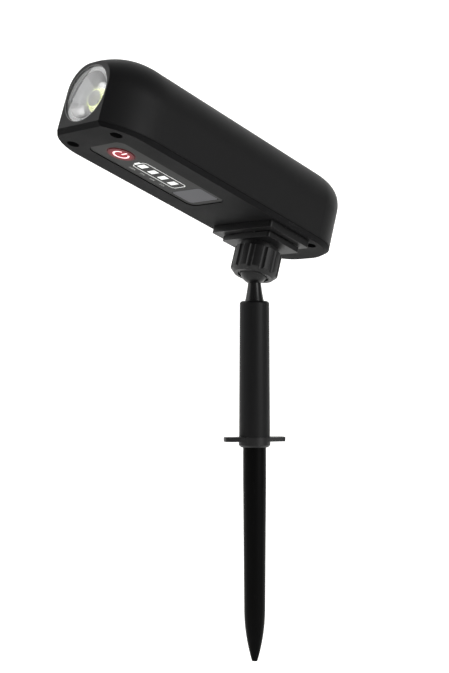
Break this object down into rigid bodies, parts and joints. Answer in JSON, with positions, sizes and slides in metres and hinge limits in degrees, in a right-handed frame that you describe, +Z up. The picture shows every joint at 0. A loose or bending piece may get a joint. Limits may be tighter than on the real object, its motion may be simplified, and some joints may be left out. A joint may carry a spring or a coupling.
{
  "type": "garden spike spotlight",
  "caption": "Garden spike spotlight: long arched head with a round lens, a button and battery gauge underneath, on a ball joint with a fluted nut over a round pole, flange and spike.",
  "frame": {"origin": "on the spike's axis, level with the underside of the ground flange's tabs", "axes": "+Z up along the spike and pole, +X the way the beam points seen from above, +Y the lamp's left side"},
  "size_m": [0.1898, 0.06, 0.3318],
  "materials": {
    "shell": "fine satin",
    "cover": "fine satin",
    "gasket": "soft black",
    "steel": "bright zinc",
    "lens": "clear polished",
    "bezel": "gloss black",
    "phosphor": "domed yellow",
    "led_board": "white coated",
    "heat_sink": "extruded",
    "wire": "red sleeve",
    "circuit_board": "solder resist",
    "switch": "plain",
    "plunger": "plain",
    "gauge_led": "domed",
    "light_guide": "frosted clear",
    "panel": "satin film",
    "button": "satin film",
    "flap": "soft grey",
    "port": "plated",
    "tray": "plain",
    "cell": "blue film sleeve",
    "contact": "nickel strip",
    "strap": "woven black",
    "bracket": "fine satin",
    "nut": "fine satin",
    "liner": "hard",
    "stud": "smooth",
    "pole": "smooth satin",
    "stake": "smooth satin"
  },
  "bodies": {
    "stake": {"spike": "stake", "ground_flange": "stake", "pole_tube": "pole"},
    "swivel": {"ball_stud": "stud", "stud_clip": "steel"},
    "liner": {"ball_liner": "liner"},
    "clamp": {"slide_shoe": "bracket"},
    "nut": {"lock_nut": "nut"},
    "head": {"upper_shell": "shell", "base_cover": "cover", "cover_gasket": "gasket", "cover_screws": "steel", "lens_optic": "lens", "lens_bezel": "bezel", "lens_seal": "gasket", "led_emitter": "phosphor", "led_board": "led_board", "heat_sink": "heat_sink", "heat_sink_screws": "steel", "led_leads": "wire", "main_board": "circuit_board", "board_screws": "steel", "power_switch": "switch", "gauge_leds": "gauge_led", "button_leds": "gauge_led", "light_guide": "light_guide", "control_panel": "panel", "charge_port": "port", "battery_tray": "tray", "battery_cells": "cell", "battery_contacts": "contact", "battery_leads": "wire", "cell_strap": "strap", "slide_rail": "bracket", "rail_screws": "steel"},
    "button": {"power_button": "button", "switch_plunger": "plunger"},
    "flap": {"port_cover": "flap"}
  },
  "joints": [
    {"name": "pan", "type": "hinge", "parent": "stake", "child": "swivel", "pos_m": [0, 0, 0.0778], "axis": [0, 0, 1], "continuous": true},
    {"name": "tilt", "type": "hinge", "parent": "swivel", "child": "liner", "pos_m": [0, 0, 0.1], "axis": [0, 1, 0], "range_deg": [-12, 47]},
    {"name": "roll", "type": "hinge", "parent": "liner", "child": "clamp", "pos_m": [0, 0, 0.1], "axis": [0.9527, 0, 0.304], "range_deg": [-20, 20]},
    {"name": "nut_turn", "type": "hinge", "parent": "clamp", "child": "nut", "pos_m": [0, 0, 0.1], "axis": [-0.304, 0, 0.9527], "range_deg": [0, 180]},
    {"name": "head_slide", "type": "slide", "parent": "clamp", "child": "head", "axis": [0.9527, 0, 0.304], "range_m": [0, 0.015]},
    {"name": "button_press", "type": "slide", "parent": "head", "child": "button", "axis": [-0.304, 0, 0.9527], "range_m": [0, 0.0008], "stiffness_N_per_m": 1500, "springref_m": -0.0005},
    {"name": "port_flap", "type": "hinge", "parent": "head", "child": "flap", "pos_m": [0.04025, 0, 0.13667], "axis": [0, 1, 0], "range_deg": [0, 100]}
  ]
}
